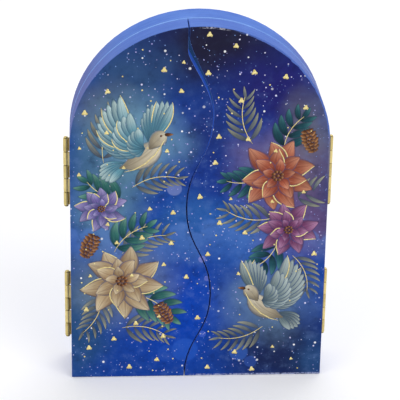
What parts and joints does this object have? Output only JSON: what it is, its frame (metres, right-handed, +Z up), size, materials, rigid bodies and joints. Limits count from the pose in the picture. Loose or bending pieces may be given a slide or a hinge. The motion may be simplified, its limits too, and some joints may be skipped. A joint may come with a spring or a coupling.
{
  "type": "nativity triptych",
  "caption": "Small wooden arched triptych, shown closed: a thick back board and two doors that meet along an S-shaped cut, hung on brass butt hinges.",
  "frame": {"origin": "on the floor, under the middle of the closed triptych's bounding box", "axes": "+Z up, -Y out of the doors' faces towards the viewer, +X to the viewer's right"},
  "size_m": [0.1502, 0.0326, 0.2105],
  "materials": {
    "blue_paint": "matt blue brushed paint on wood",
    "night_sky_print": "satin printed paper with gold foil",
    "hinge_brass": "plain pressed brass",
    "nail_brass": "brass-plated"
  },
  "bodies": {
    "back": {"back_panel": "blue_paint", "left_lower_hinge_back_leaf": "hinge_brass", "left_lower_hinge_back_leaf_nail_1": "nail_brass", "left_lower_hinge_back_leaf_nail_2": "nail_brass", "left_lower_hinge_pin": "hinge_brass", "left_upper_hinge_back_leaf": "hinge_brass", "left_upper_hinge_back_leaf_nail_1": "nail_brass", "left_upper_hinge_back_leaf_nail_2": "nail_brass", "left_upper_hinge_pin": "hinge_brass", "right_lower_hinge_back_leaf": "hinge_brass", "right_lower_hinge_back_leaf_nail_1": "nail_brass", "right_lower_hinge_back_leaf_nail_2": "nail_brass", "right_lower_hinge_pin": "hinge_brass", "right_upper_hinge_back_leaf": "hinge_brass", "right_upper_hinge_back_leaf_nail_1": "nail_brass", "right_upper_hinge_back_leaf_nail_2": "nail_brass", "right_upper_hinge_pin": "hinge_brass"},
    "left_door": {"left_door": "blue_paint", "left_door_print": "night_sky_print", "left_lower_hinge_door_leaf": "hinge_brass", "left_lower_hinge_door_leaf_nail_1": "nail_brass", "left_lower_hinge_door_leaf_nail_2": "nail_brass", "left_upper_hinge_door_leaf": "hinge_brass", "left_upper_hinge_door_leaf_nail_1": "nail_brass", "left_upper_hinge_door_leaf_nail_2": "nail_brass"},
    "right_door": {"right_door": "blue_paint", "right_door_print": "night_sky_print", "right_lower_hinge_door_leaf": "hinge_brass", "right_lower_hinge_door_leaf_nail_1": "nail_brass", "right_lower_hinge_door_leaf_nail_2": "nail_brass", "right_upper_hinge_door_leaf": "hinge_brass", "right_upper_hinge_door_leaf_nail_1": "nail_brass", "right_upper_hinge_door_leaf_nail_2": "nail_brass"}
  },
  "joints": [
    {"name": "left_door_hinge", "type": "hinge", "parent": "back", "child": "left_door", "pos_m": [-0.0736, -0.001, 0.08], "axis": [0, 0, -1], "range_deg": [0, 180]},
    {"name": "right_door_hinge", "type": "hinge", "parent": "back", "child": "right_door", "pos_m": [0.0736, -0.001, 0.08], "axis": [0, 0, 1], "range_deg": [0, 180]}
  ]
}
